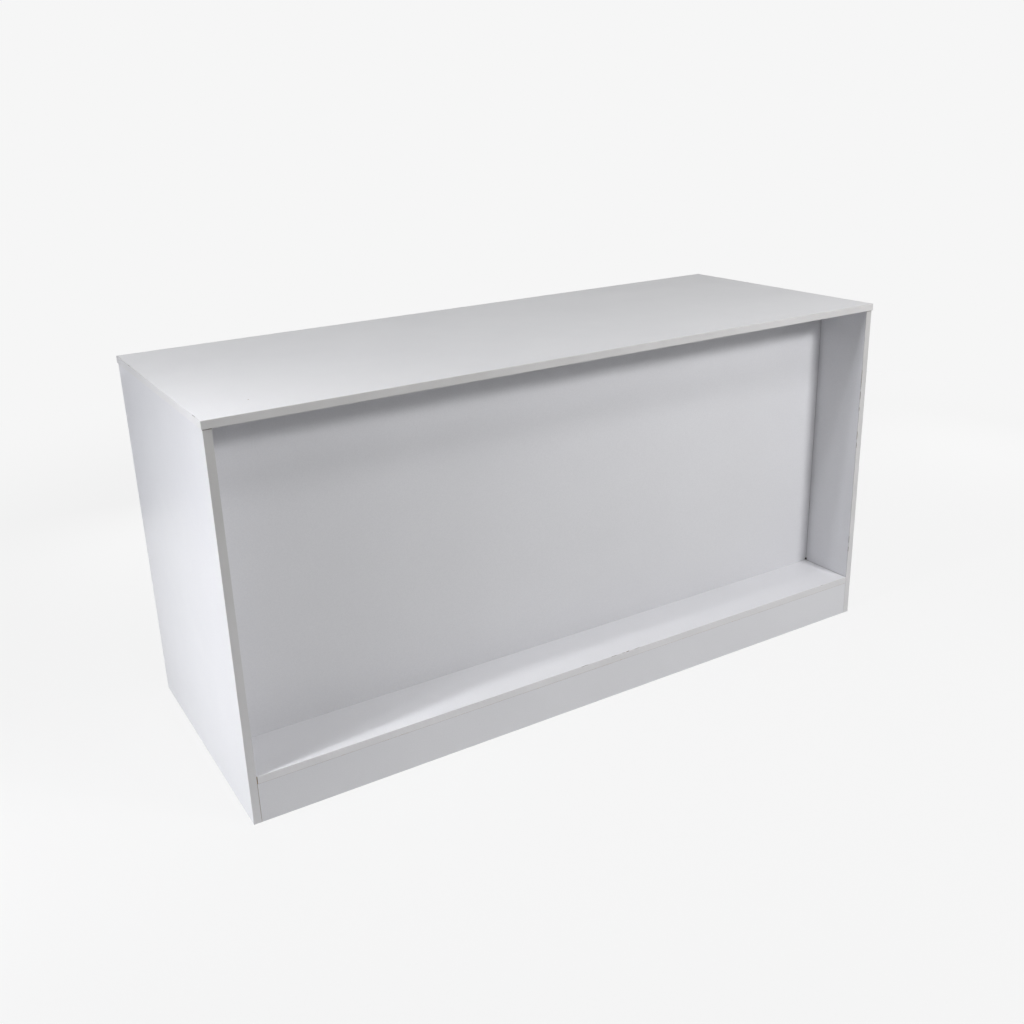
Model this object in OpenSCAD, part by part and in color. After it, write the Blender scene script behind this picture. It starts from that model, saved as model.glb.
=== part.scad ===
// Retail counter with a recessed customer side and open shelving on the staff side.
// Flat-pack carcass of melamine-faced board: edged panels held by cam fittings and dowels.
// +Z is up, the customer side faces -Y, and the origin is on the floor under the middle.

/* [Overall] */
// Length of the counter over the worktop's edging
overall_w = 1800; // [1400:10:2400]
// Depth of the counter over the worktop's edging
overall_d = 700; // [560:10:900]
// Height of the worktop above the floor
overall_h = 900; // [760:10:1100]

/* [Customer side] */
// Distance that the front panel stands back from the carcass front
recess_depth = 155; // [80:5:220]
// Height of the two kickboards
kick_h = 95; // [90:5:140]

/* [Staff side] */
// Distance that the rear kickboard stands back for the toes
toe_setback = 50; // [20:5:90]
// Distance that the shelves stand back from the carcass rear
shelf_setback = 20; // [5:5:60]
// Gap between a shelf's end and the wall beside it
shelf_clearance = 1.5; // [1.4:0.1:3]
// Gap between a shelf and the front panel
shelf_front_gap = 3; // [1:1:10]
// Hole of the row that carries the shelves, counted from the middle one
shelf_level = 0; // [-3:1:3]

/* [Boards] */
// Thickness of every board
board_t = 18; // [16:1:25]
// Gap at each end of a board that stands between the two sides
end_gap = 0.4; // [0.2:0.1:0.8]
// Thickness of the worktop's edging
top_edging_t = 2; // [1.5:0.5:3]
// Radius on the worktop edging's arrises
top_arris_r = 1.2; // [0.5:0.1:1.4]
// Thickness of the edging on every other board
edging_t = 1; // [0.8:0.1:1.4]
// Radius on the thin edging's arrises
arris_r = 0.5; // [0.2:0.1:0.7]

/* [Shelf pins] */
// Diameter of a shelf pin's stub
pin_d = 5; // [4:0.5:6]
// Length of the stub inside the board
pin_stub = 8; // [6:0.5:8]
// Diameter of the collar that stops the pin at the board's face
collar_d = 7.6; // [7:0.2:9]
// Thickness of that collar
collar_t = 1.1; // [0.8:0.1:1.2]
// Length of the flat tongue under the shelf
tongue_l = 9; // [7:0.5:12]
// Width of the tongue
tongue_w = 8; // [7:0.5:10]
// Thickness of the tongue
tongue_t = 2.2; // [1.6:0.2:3]
// Distance between neighbouring holes of a row
row_pitch = 32; // [25:1:32]
// Holes in a row
row_holes = 9; // [7:2:9]
// Distance from the row to the board's edge
row_inset = 37; // [37:1:60]

/* [Cam fittings] */
// Diameter of the bore for a cam
cam_bore_d = 15; // [15:0.5:16]
// Depth of that bore past the middle of the board
cam_past_middle = 4.5; // [4.3:0.1:5]
// Distance from the seam to the cam's axis
cam_reach = 24; // [22:1:30]
// Diameter of the bolt's round head
head_d = 6.6; // [6:0.2:7]
// Diameter of the bolt's neck inside the cam's jaw
neck_d = 3.8; // [3.4:0.2:4]
// Diameter of the bolt's shank
shank_d = 6; // [5.5:0.5:7]
// Diameter of the bore in the board's edge for the shank
shank_bore_d = 8; // [7.8:0.2:8.4]
// Diameter of the bolt's screwed end
screw_d = 5; // [4:0.5:6]
// Length of the bolt's screwed end
screw_l = 11; // [9:0.5:13]
// Diameter of a cover cap
cap_d = 17; // [17:0.5:20]
// Height that a cover cap stands proud of the board
cap_t = 1; // [0.8:0.1:1.2]

/* [Dowels] */
// Diameter of a dowel
dowel_d = 8; // [6:1:8]
// Length of a dowel
dowel_l = 30; // [26:1:35]
// Length of it that stands in the face of the other board
dowel_in_face = 12; // [10:0.5:12]

/* [Hidden] */

// Running clearances of the fittings in their bores
hole_clearance = 0.1;
cam_clearance = 0.15;
dowel_clearance = 0.1;
bottom_clearance = 0.5;
jaw_clearance = 0.3;
cam_sink = 0.2;
cut = 1;
round_fn = 48;

// Finishes as the photograph shows them
melamine = [0.90, 0.90, 0.92];
edge_tape = [0.82, 0.81, 0.79];
zinc = [0.66, 0.67, 0.68];
steel = [0.76, 0.77, 0.78];
beech = [0.80, 0.65, 0.45];
cap_white = [0.93, 0.93, 0.92];

// Planes that the boards share
carcass_w = overall_w - 2 * top_edging_t;
carcass_d = overall_d - 2 * top_edging_t;
y_front = -carcass_d / 2;
y_back = carcass_d / 2;
x_in = carcass_w / 2 - board_t;
x_side = x_in + board_t / 2;
z_deck = overall_h - board_t;
z_base = kick_h + board_t;
y_face = y_front + recess_depth;
y_store = y_face + board_t;
y_panel = y_face + board_t / 2;
y_front_kick = y_front + board_t / 2;
y_rear_kick = y_back - toe_setback - board_t / 2;
z_bottom = kick_h + board_t / 2;

// Hole rows for the shelf pins
y_rows = [y_store + row_inset, y_back - row_inset];
z_middle = (z_base + z_deck) / 2;
half_row = (row_holes - 1) / 2;
z_rows = [for (i = [-half_row:half_row]) z_middle + i * row_pitch];
z_pin = z_middle + shelf_level * row_pitch;
pin_hole_d = pin_d + 2 * hole_clearance;
pin_hole_depth = pin_stub + bottom_clearance;
cam_bore_depth = board_t / 2 + cam_past_middle;

// n places from a to b, the outer two standing inset from the ends
function spread(a, b, n, inset) = [for (i = [0:n - 1]) a + inset + i * (b - a - 2 * inset) / (n - 1)];
function mid_points(v) = [for (i = [0:len(v) - 2]) (v[i] + v[i + 1]) / 2];

// Where the fittings stand along each seam
cam_inset = 55;
divider_cam_inset = 100;
panel_cam_inset = 140;
y_cams = spread(y_store, y_back, 3, cam_inset);
y_dowels = concat([(y_front + y_face) / 2], mid_points(y_cams));
y_base_cams = concat([y_front + cam_inset], mid_points(y_cams));
x_cams = concat(spread(-x_in, 0, 2, x_in / 4), spread(0, x_in, 2, x_in / 4));
x_dowels = [-x_in / 2, x_in / 2];
x_kick_cams = spread(-x_in, x_in, 4, x_in / 8);
y_divider_cams = spread(y_store, y_back, 2, divider_cam_inset);
y_divider_dowels = mid_points(y_divider_cams);
y_rail_dowels = mid_points([y_divider_cams[0], y_divider_dowels[0], y_divider_cams[1]]);
z_panel_cams = spread(z_base, z_deck, 2, panel_cam_inset);
z_kick = kick_h / 2;
y_rail_front = y_front + board_t;
y_rail_back = y_back - toe_setback - board_t;

// A cam joint is [point on the seam, way from the bolt's board into the cam's board, way the cam faces]
function mirrored(v) = [-v[0], v[1], v[2]];
function both_sides(joints) = concat(joints, [for (j = joints) [for (v = j) mirrored(v)]]);
function on_left(joints) = [for (j = joints) if (j[0][0] < 0) j];

side_top_joints = both_sides([for (y = y_cams) [[-x_side, y, z_deck], [0, 0, -1], [1, 0, 0]]]);
panel_top_joints = [for (x = x_cams) [[x, y_panel, z_deck], [0, 0, -1], [0, 1, 0]]];
divider_top_joints = [for (y = y_divider_cams) [[0, y, z_deck], [0, 0, -1], [1, 0, 0]]];
bottom_side_joints = both_sides([for (y = y_base_cams) [[-x_in, y, z_bottom], [1, 0, 0], [0, 0, -1]]]);
panel_side_joints = both_sides([for (z = z_panel_cams) [[-x_in, y_panel, z], [1, 0, 0], [0, 1, 0]]]);
panel_bottom_joints = [for (x = x_cams) [[x, y_panel, z_base], [0, 0, 1], [0, 1, 0]]];
divider_bottom_joints = [for (y = y_divider_cams) [[0, y, z_base], [0, 0, 1], [1, 0, 0]]];
divider_panel_joints = [for (z = z_panel_cams) [[0, y_store, z], [0, 1, 0], [1, 0, 0]]];
front_kick_side_joints = both_sides([[[-x_in, y_front_kick, z_kick], [1, 0, 0], [0, 1, 0]]]);
rear_kick_side_joints = both_sides([[[-x_in, y_rear_kick, z_kick], [1, 0, 0], [0, -1, 0]]]);
front_kick_top_joints = [for (x = x_kick_cams) [[x, y_front_kick, kick_h], [0, 0, -1], [0, 1, 0]]];
rear_kick_top_joints = [for (x = x_kick_cams) [[x, y_rear_kick, kick_h], [0, 0, -1], [0, -1, 0]]];
rail_front_joints = [[[0, y_rail_front, z_kick], [0, 1, 0], [1, 0, 0]]];
rail_rear_joints = [[[0, y_rail_back, z_kick], [0, -1, 0], [1, 0, 0]]];

capped_joints = concat(side_top_joints, panel_top_joints, divider_top_joints, panel_side_joints,
    panel_bottom_joints, divider_bottom_joints, divider_panel_joints);
hidden_joints = concat(bottom_side_joints, front_kick_side_joints, rear_kick_side_joints,
    front_kick_top_joints, rear_kick_top_joints, rail_front_joints, rail_rear_joints);

// A dowel is [point on the seam, way from the face of one board into the edge of the other]
side_top_dowels = both_sides([for (y = y_dowels) [[-x_side, y, z_deck], [0, 0, -1]]]);
panel_top_dowels = [for (x = x_dowels) [[x, y_panel, z_deck], [0, 0, -1]]];
divider_top_dowels = [for (y = y_divider_dowels) [[0, y, z_deck], [0, 0, -1]]];
bottom_side_dowels = both_sides([for (y = mid_points(y_base_cams)) [[-x_in, y, z_bottom], [1, 0, 0]]]);
panel_bottom_dowels = [for (x = x_dowels) [[x, y_panel, z_base], [0, 0, 1]]];
divider_bottom_dowels = [for (y = y_divider_dowels) [[0, y, z_base], [0, 0, 1]]];
rail_bottom_dowels = [for (y = y_rail_dowels) [[0, y, kick_h], [0, 0, -1]]];

all_dowels = concat(side_top_dowels, panel_top_dowels, divider_top_dowels, bottom_side_dowels,
    panel_bottom_dowels, divider_bottom_dowels, rail_bottom_dowels);

// A box between two corners
module block(low, high) {
    translate(low) cube([for (i = [0:2]) high[i] - low[i]]);
}

// Sets a joint's own axes: +Z runs from the seam into the cam's board, and +X is the way the cam faces
module at_joint(joint) {
    p = joint[0];
    z = joint[1];
    x = joint[2];
    y = cross(z, x);
    multmatrix([for (i = [0:2]) [x[i], y[i], z[i], p[i]]]) children();
}

// Sets a dowel's middle at the origin: most of its length stands in the edge of the second board
module at_dowel(dowel) {
    way = dowel[1];
    translate(dowel[0] + (dowel_l / 2 - dowel_in_face) * way)
        rotate(way[2] == 0 ? [0, 90, 0] : [0, 0, 0]) children();
}

// Bores that a cam joint needs in the board that holds the cam
module cam_bores(joints) {
    for (joint = joints) at_joint(joint) {
        translate([board_t / 2 - cam_bore_depth, 0, cam_reach]) rotate([0, 90, 0])
            cylinder(d = cam_bore_d, h = cam_bore_depth + cut, $fn = round_fn);
        translate([0, 0, -cut]) cylinder(d = shank_bore_d, h = cam_reach + cut, $fn = round_fn);
    }
}

// Bores that a cam joint needs in the board that holds the bolt
module screw_bores(joints) {
    for (joint = joints) at_joint(joint)
        translate([0, 0, -screw_l - bottom_clearance])
            cylinder(d = screw_d + 2 * hole_clearance, h = screw_l + bottom_clearance + cut,
                $fn = round_fn);
}

module dowel_bores(places) {
    for (place = places) at_dowel(place)
        cylinder(d = dowel_d + 2 * dowel_clearance, h = dowel_l + 2 * bottom_clearance,
            center = true, $fn = round_fn);
}

// Both rows of pin holes in a wall whose face is at x, drilled the way that into points
module pin_bores(x, into) {
    for (y = y_rows, z = z_rows)
        translate([x - into * cut, y, z]) rotate([0, into * 90, 0])
            cylinder(d = pin_hole_d, h = pin_hole_depth + cut, $fn = round_fn);
}

module top_panel() {
    color(melamine) difference() {
        block([-carcass_w / 2, y_front, z_deck], [carcass_w / 2, y_back, overall_h]);
        screw_bores(concat(side_top_joints, panel_top_joints, divider_top_joints));
        dowel_bores(concat(side_top_dowels, panel_top_dowels, divider_top_dowels));
    }
}

module left_side_panel() {
    color(melamine) difference() {
        block([-carcass_w / 2, y_front + edging_t, 0], [-x_in, y_back - edging_t, z_deck]);
        cam_bores(on_left(side_top_joints));
        screw_bores(on_left(concat(bottom_side_joints, panel_side_joints,
            front_kick_side_joints, rear_kick_side_joints)));
        dowel_bores(on_left(concat(side_top_dowels, bottom_side_dowels)));
        pin_bores(-x_in, -1);
    }
}

module right_side_panel() {
    mirror([1, 0, 0]) left_side_panel();
}

module front_panel() {
    color(melamine) difference() {
        block([-x_in + end_gap, y_face, z_base], [x_in - end_gap, y_store, z_deck]);
        cam_bores(concat(panel_top_joints, panel_bottom_joints, panel_side_joints));
        screw_bores(divider_panel_joints);
        dowel_bores(concat(panel_top_dowels, panel_bottom_dowels));
    }
}

module bottom_panel() {
    color(melamine) difference() {
        block([-x_in + end_gap, y_front + edging_t, kick_h], [x_in - end_gap, y_back - edging_t, z_base]);
        cam_bores(bottom_side_joints);
        screw_bores(concat(panel_bottom_joints, divider_bottom_joints,
            front_kick_top_joints, rear_kick_top_joints));
        dowel_bores(concat(bottom_side_dowels, panel_bottom_dowels, divider_bottom_dowels,
            rail_bottom_dowels));
    }
}

module centre_divider() {
    color(melamine) difference() {
        block([-board_t / 2, y_store, z_base], [board_t / 2, y_back - edging_t, z_deck]);
        cam_bores(concat(divider_top_joints, divider_bottom_joints, divider_panel_joints));
        dowel_bores(concat(divider_top_dowels, divider_bottom_dowels));
        pin_bores(-board_t / 2, 1);
        pin_bores(board_t / 2, -1);
    }
}

module front_kickboard() {
    color(melamine) difference() {
        block([-x_in + end_gap, y_front, 0], [x_in - end_gap, y_rail_front, kick_h]);
        cam_bores(concat(front_kick_side_joints, front_kick_top_joints));
        screw_bores(rail_front_joints);
    }
}

module rear_kickboard() {
    color(melamine) difference() {
        block([-x_in + end_gap, y_rail_back, 0], [x_in - end_gap, y_rail_back + board_t, kick_h]);
        cam_bores(concat(rear_kick_side_joints, rear_kick_top_joints));
        screw_bores(rail_rear_joints);
    }
}

module base_cross_rail() {
    color(melamine) difference() {
        block([-board_t / 2, y_rail_front, 0], [board_t / 2, y_rail_back, kick_h]);
        cam_bores(concat(rail_front_joints, rail_rear_joints));
        dowel_bores(rail_bottom_dowels);
    }
}

module left_shelf() {
    color(melamine)
        block([-x_in + shelf_clearance, y_store + shelf_front_gap, z_pin],
            [-board_t / 2 - shelf_clearance, y_back - shelf_setback - edging_t, z_pin + board_t]);
}

module right_shelf() {
    mirror([1, 0, 0]) left_shelf();
}

// Section of an edging strip: its glued back on the Y axis, its two outer arrises rounded
module edging_section(thick, arris) {
    half = board_t / 2;
    intersection() {
        translate([0, -half]) square([thick, board_t]);
        union() {
            translate([0, -half]) square([thick - arris, board_t]);
            translate([0, arris - half]) square([thick, board_t - 2 * arris]);
            for (side = [-1, 1]) translate([thick - arris, side * (half - arris)])
                circle(arris, $fn = round_fn);
        }
    }
}

// A strip along +Z from the origin, standing off towards +X
module edging_strip(length, thick, arris) {
    color(edge_tape) linear_extrude(height = length) edging_section(thick, arris);
}

module top_front_edging() {
    translate([-overall_w / 2, y_front, overall_h - board_t / 2]) rotate([0, 90, 0]) rotate(-90)
        edging_strip(overall_w, top_edging_t, top_arris_r);
}

module top_rear_edging() {
    mirror([0, 1, 0]) top_front_edging();
}

module top_right_edging() {
    translate([carcass_w / 2, y_back, overall_h - board_t / 2]) rotate([90, 0, 0])
        edging_strip(carcass_d, top_edging_t, top_arris_r);
}

module top_left_edging() {
    mirror([1, 0, 0]) top_right_edging();
}

// Strip on an upright board's rear edge: x is the board's middle, from z0 to z1
module upright_edging(x, z0, z1) {
    translate([x, y_back - edging_t, z0]) rotate(90) edging_strip(z1 - z0, edging_t, arris_r);
}

// Strip on a level board's rear edge: z is the board's middle, from x0 to x1, its back at y
module level_edging(x0, x1, y, z) {
    translate([x0, y, z]) rotate([0, 90, 0]) rotate(90) edging_strip(x1 - x0, edging_t, arris_r);
}

module left_side_rear_edging() {
    upright_edging(-x_side, 0, z_deck);
}

module left_side_front_edging() {
    mirror([0, 1, 0]) left_side_rear_edging();
}

module right_side_rear_edging() {
    upright_edging(x_side, 0, z_deck);
}

module right_side_front_edging() {
    mirror([0, 1, 0]) right_side_rear_edging();
}

module bottom_rear_edging() {
    level_edging(-x_in + end_gap, x_in - end_gap, y_back - edging_t, z_bottom);
}

module bottom_front_edging() {
    mirror([0, 1, 0]) bottom_rear_edging();
}

module divider_rear_edging() {
    upright_edging(0, z_base, z_deck);
}

module left_shelf_edging() {
    level_edging(-x_in + shelf_clearance, -board_t / 2 - shelf_clearance,
        y_back - shelf_setback - edging_t, z_pin + board_t / 2);
}

module right_shelf_edging() {
    mirror([1, 0, 0]) left_shelf_edging();
}

// Quarter-turn cam: the bolt's head sits in the chamber and its neck in the jaw, and the mouth that the
// head came in by has turned away from the bolt. Driver recess on the face.
module cam_housing() {
    cam_d = cam_bore_d - 2 * cam_clearance;
    chamber_d = head_d + 2 * jaw_clearance;
    jaw_h = neck_d + 2 * jaw_clearance;
    jaw_turn = 130;
    jaw_margin = 32;
    driver_d = 4.4;
    driver_depth = 2.6;
    slot_w = 1.4;
    slot_l = 7.6;
    height = cam_bore_depth - cam_sink - bottom_clearance;
    face = board_t / 2 - cam_sink;
    translate([0, 0, cam_reach]) rotate([0, 90, 0]) difference() {
        translate([0, 0, face - height]) cylinder(d = cam_d, h = height, $fn = round_fn);
        cylinder(d = chamber_d, h = chamber_d, center = true, $fn = round_fn);
        linear_extrude(height = jaw_h, center = true) polygon([
            [0, 0],
            for (a = [-jaw_margin, jaw_turn / 3, 2 * jaw_turn / 3, jaw_turn]) cam_d * [cos(a), sin(a)]
        ]);
        rotate([0, 0, jaw_turn]) rotate([0, 90, 0]) cylinder(d = chamber_d, h = cam_d, $fn = round_fn);
        translate([0, 0, face - driver_depth]) {
            cylinder(d = driver_d, h = driver_depth + cut, $fn = round_fn);
            for (turn = [45, 135]) rotate(turn)
                translate([-slot_l / 2, -slot_w / 2, 0]) cube([slot_l, slot_w, driver_depth + cut]);
        }
    }
}

module cam_housings() {
    color(zinc) for (joint = concat(capped_joints, hidden_joints)) at_joint(joint) cam_housing();
}

// Bolt: screwed end in one board, then a collar on its face, the shank, the neck and the round head
module cam_bolt() {
    collar_r = shank_bore_d / 2 - jaw_clearance;
    collar_h = 1.6;
    shank_end = cam_reach - cam_bore_d / 2 - jaw_clearance;
    tip = 1;
    overlap = 0.6;
    rotate_extrude($fn = round_fn) polygon([
        [0, -screw_l], [screw_d / 2 - tip, -screw_l], [screw_d / 2, tip - screw_l], [screw_d / 2, 0],
        [collar_r, 0], [collar_r, collar_h], [shank_d / 2, collar_h + collar_r - shank_d / 2],
        [shank_d / 2, shank_end - tip], [neck_d / 2, shank_end],
        [neck_d / 2, cam_reach - head_d / 2 + overlap], [0, cam_reach - head_d / 2 + overlap]
    ]);
    translate([0, 0, cam_reach]) sphere(d = head_d, $fn = round_fn);
}

module cam_bolts() {
    color(steel) for (joint = concat(capped_joints, hidden_joints)) at_joint(joint) cam_bolt();
}

// Cover cap: a chamfered disc on the board's face with a spigot in the cam's driver recess
module cam_cap() {
    spigot_d = 3.6;
    spigot_l = 2;
    chamfer = 0.5;
    translate([board_t / 2, 0, cam_reach]) rotate([0, 90, 0]) rotate_extrude($fn = round_fn) polygon([
        [0, -spigot_l], [spigot_d / 2, -spigot_l], [spigot_d / 2, 0], [cap_d / 2, 0],
        [cap_d / 2, cap_t - chamfer], [cap_d / 2 - chamfer, cap_t], [0, cap_t]
    ]);
}

module cam_caps() {
    color(cap_white) for (joint = capped_joints) at_joint(joint) cam_cap();
}

// Dowel with chamfered ends
module dowel() {
    chamfer = 1;
    half = dowel_l / 2;
    rotate_extrude($fn = round_fn) polygon([
        [0, -half], [dowel_d / 2 - chamfer, -half], [dowel_d / 2, chamfer - half],
        [dowel_d / 2, half - chamfer], [dowel_d / 2 - chamfer, half], [0, half]
    ]);
}

module dowels() {
    color(beech) for (place = all_dowels) at_dowel(place) dowel();
}

// Pin along +X from the wall's face at the origin: a stub in the wall, a collar, and a tongue whose
// flat top is on the stub's axis and carries the shelf
module shelf_pin() {
    overlap = 0.2;
    rotate([0, -90, 0]) cylinder(d = pin_d, h = pin_stub, $fn = round_fn);
    rotate([0, 90, 0]) cylinder(d = collar_d, h = collar_t, $fn = round_fn);
    translate([collar_t - overlap, -tongue_w / 2, -tongue_t])
        cube([tongue_l - tongue_w / 2 - collar_t + overlap, tongue_w, tongue_t]);
    translate([tongue_l - tongue_w / 2, 0, -tongue_t])
        cylinder(d = tongue_w, h = tongue_t, $fn = round_fn);
}

// The four pins of the left bay
module bay_pins() {
    for (y = y_rows) {
        translate([-x_in, y, z_pin]) shelf_pin();
        translate([-board_t / 2, y, z_pin]) mirror([1, 0, 0]) shelf_pin();
    }
}

module shelf_pins() {
    color(steel) {
        bay_pins();
        mirror([1, 0, 0]) bay_pins();
    }
}

top_panel();
left_side_panel();
right_side_panel();
front_panel();
bottom_panel();
centre_divider();
front_kickboard();
rear_kickboard();
base_cross_rail();
left_shelf();
right_shelf();
top_front_edging();
top_rear_edging();
top_left_edging();
top_right_edging();
left_side_front_edging();
left_side_rear_edging();
right_side_front_edging();
right_side_rear_edging();
bottom_front_edging();
bottom_rear_edging();
divider_rear_edging();
left_shelf_edging();
right_shelf_edging();
cam_housings();
cam_bolts();
cam_caps();
dowels();
shelf_pins();
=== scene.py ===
# %% [markdown]
# # A retail counter, dressed for its photograph
# The counter is a flat-pack carcass of white melamine-faced board: a worktop, two sides down to the
# floor, a recessed panel on the customer's side with a ledge and a kickboard, and open bays behind.
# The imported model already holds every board, strip of edging and fitting at its real size, so this
# lesson adds what a camera sees of them: crisp arrises, glue lines, edging with its small nicks, raw
# particle board inside the pin holes, and the soft light of a studio.
#
# Everything is in metres. The customer stands at -Y, the staff at +Y, and the floor is z = 0.

# %% Load the counter as a fixed frame
import math

import bmesh
import bpy
from mathutils import Matrix, Vector


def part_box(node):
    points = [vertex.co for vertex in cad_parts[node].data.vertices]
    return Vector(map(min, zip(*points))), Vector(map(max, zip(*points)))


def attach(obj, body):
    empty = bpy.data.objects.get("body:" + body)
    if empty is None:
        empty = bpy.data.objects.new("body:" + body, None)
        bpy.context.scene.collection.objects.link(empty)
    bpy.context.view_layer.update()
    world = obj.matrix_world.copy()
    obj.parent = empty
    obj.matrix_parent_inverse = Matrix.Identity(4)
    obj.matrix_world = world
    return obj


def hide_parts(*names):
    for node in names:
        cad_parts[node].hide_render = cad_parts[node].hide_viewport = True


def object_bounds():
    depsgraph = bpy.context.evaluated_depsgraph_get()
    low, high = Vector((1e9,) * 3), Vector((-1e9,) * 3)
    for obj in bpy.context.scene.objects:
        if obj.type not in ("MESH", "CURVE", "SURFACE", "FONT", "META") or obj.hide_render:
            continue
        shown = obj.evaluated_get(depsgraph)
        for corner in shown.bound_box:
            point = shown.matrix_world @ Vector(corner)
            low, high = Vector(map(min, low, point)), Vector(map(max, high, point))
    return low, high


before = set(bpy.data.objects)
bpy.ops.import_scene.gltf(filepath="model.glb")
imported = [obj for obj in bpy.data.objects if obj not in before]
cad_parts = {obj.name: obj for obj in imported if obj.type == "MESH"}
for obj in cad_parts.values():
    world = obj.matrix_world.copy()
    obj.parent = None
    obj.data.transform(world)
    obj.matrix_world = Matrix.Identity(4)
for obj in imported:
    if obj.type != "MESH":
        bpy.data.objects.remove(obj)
cad_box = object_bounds()
MM = 0.001
print("pieces in the frame:", len(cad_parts), "box:", [tuple(round(v, 4) for v in c) for c in cad_box])

# %% [markdown]
# ## The camera
# The photograph is a three-quarter view from the customer's left, a little above the worktop, with a
# slight roll. The five numbers of the view come from lining up the straight edges of the boards, which
# works well on furniture: parallel edges fix the angle, and known lengths fix the distance. A small
# shift puts the counter where it stands in the frame without turning the camera.

# %% Set the camera
PHOTO_PIXELS = 1024
SENSOR_WIDTH = 36.0
VIEW_AZIMUTH = math.radians(29.950)
VIEW_ELEVATION = math.radians(19.494)
VIEW_ROLL = math.radians(-2.169)
VIEW_DISTANCE = 2.8787
VIEW_ASIDE = (0.06069, -0.03550)
FOCAL_PIXELS = 1084.96
CENTRE_PIXEL = (496.01, 482.75)


def view_axes(azimuth, elevation, roll):
    """The camera's right, up and back directions, as the columns of a matrix."""
    forward = Vector((math.sin(azimuth) * math.cos(elevation),
                      math.cos(azimuth) * math.cos(elevation), -math.sin(elevation)))
    level = Vector((math.cos(azimuth), -math.sin(azimuth), 0))
    upright = level.cross(forward)
    right = math.cos(roll) * level + math.sin(roll) * upright
    up = math.cos(roll) * upright - math.sin(roll) * level
    return Matrix((right, up, -forward)).transposed()


def add_camera():
    data = bpy.data.cameras.new("photograph_camera")
    data.sensor_width = SENSOR_WIDTH
    data.lens = FOCAL_PIXELS / PHOTO_PIXELS * SENSOR_WIDTH
    data.shift_x = 0.5 - CENTRE_PIXEL[0] / PHOTO_PIXELS
    data.shift_y = CENTRE_PIXEL[1] / PHOTO_PIXELS - 0.5
    axes = view_axes(VIEW_AZIMUTH, VIEW_ELEVATION, VIEW_ROLL)
    middle = (cad_box[0] + cad_box[1]) / 2
    place = middle - axes @ Vector((VIEW_ASIDE[0], VIEW_ASIDE[1], -VIEW_DISTANCE))
    camera = bpy.data.objects.new("photograph_camera", data)
    camera.matrix_world = Matrix.Translation(place) @ axes.to_4x4()
    bpy.context.scene.collection.objects.link(camera)
    bpy.context.scene.camera = camera
    return camera


camera = add_camera()
print("camera at", tuple(round(v, 3) for v in camera.matrix_world.translation))
print("lens", round(camera.data.lens, 2), "mm")

# %% [markdown]
# ## White melamine
# The boards are faced with a white resin film. It is never perfectly even: it has a fine pearl texture
# of about two millimetres, which breaks up reflections, and hands and cloths leave patches that shine
# a little differently. Both are noise on Object coordinates, so they keep their real size on every
# board. Where two boards meet, the shader darkens the colour along a line between two points. The
# narrow lines are dark joints and dust with some painted shade. Two wide soft bands are painted
# shade: the worktop's shadow across the top of the customer's panel, and the shade in its right corner.

# %% Build materials from a few shared helpers
def srgb(red, green, blue):
    """A colour read as 0 to 255 in a picture, as the linear colour that a shader wants."""
    def linear(value):
        value /= 255
        return value / 12.92 if value <= 0.04045 else ((value + 0.055) / 1.055) ** 2.4
    return (linear(red), linear(green), linear(blue), 1.0)


class Finish:
    """A material with its Principled shader and a short way to add and join nodes."""

    def __init__(self, name, colour, roughness):
        self.material = bpy.data.materials.new(name)
        self.material.use_nodes = True
        self.nodes = self.material.node_tree.nodes
        self.links = self.material.node_tree.links
        self.shader = self.nodes["Principled BSDF"]
        self.shader.inputs["Base Color"].default_value = colour
        self.shader.inputs["Roughness"].default_value = roughness
        self.place = self.nodes.new("ShaderNodeTexCoord").outputs["Object"]

    def add(self, kind, inputs=None, **settings):
        node = self.nodes.new(kind)
        for key, value in settings.items():
            setattr(node, key, value)
        for key, value in (inputs or {}).items():
            if isinstance(value, bpy.types.NodeSocket):
                self.links.new(value, node.inputs[key])
            else:
                node.inputs[key].default_value = value
        return node

    def noise(self, size, detail=2.0, roughness=0.5, vector=None):
        """Noise whose blotches are about size metres across."""
        node = self.add("ShaderNodeTexNoise", {"Vector": vector or self.place, "Scale": 1 / size,
                                               "Detail": detail, "Roughness": roughness})
        return node.outputs["Fac"]

    def ramp(self, value, low, high, to_low=0.0, to_high=1.0):
        """value between low and high, mapped to to_low and to_high and held there outside."""
        node = self.add("ShaderNodeMapRange", {"Value": value, "From Min": low, "From Max": high,
                                               "To Min": to_low, "To Max": to_high})
        return node.outputs["Result"]

    def mix(self, factor, first, second):
        node = self.add("ShaderNodeMix", data_type="RGBA")
        sockets = (node.inputs["Factor"], node.inputs[6], node.inputs[7])
        for socket, value in zip(sockets, (factor, first, second)):
            if isinstance(value, bpy.types.NodeSocket):
                self.links.new(value, socket)
            else:
                socket.default_value = value
        return node.outputs[2]

    def vector(self, operation, first, second):
        return self.add("ShaderNodeVectorMath", {0: first, 1: second}, operation=operation).outputs[0]

    def bump(self, height, depth, below=None):
        """A bump of about depth metres, stacked on another one if given."""
        inputs = {"Height": height, "Strength": 1.0, "Distance": depth}
        if below is not None:
            inputs["Normal"] = below
        return self.add("ShaderNodeBump", inputs).outputs["Normal"]

    def set(self, key, value):
        if isinstance(value, bpy.types.NodeSocket):
            self.links.new(value, self.shader.inputs[key])
        else:
            self.shader.inputs[key].default_value = value


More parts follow.
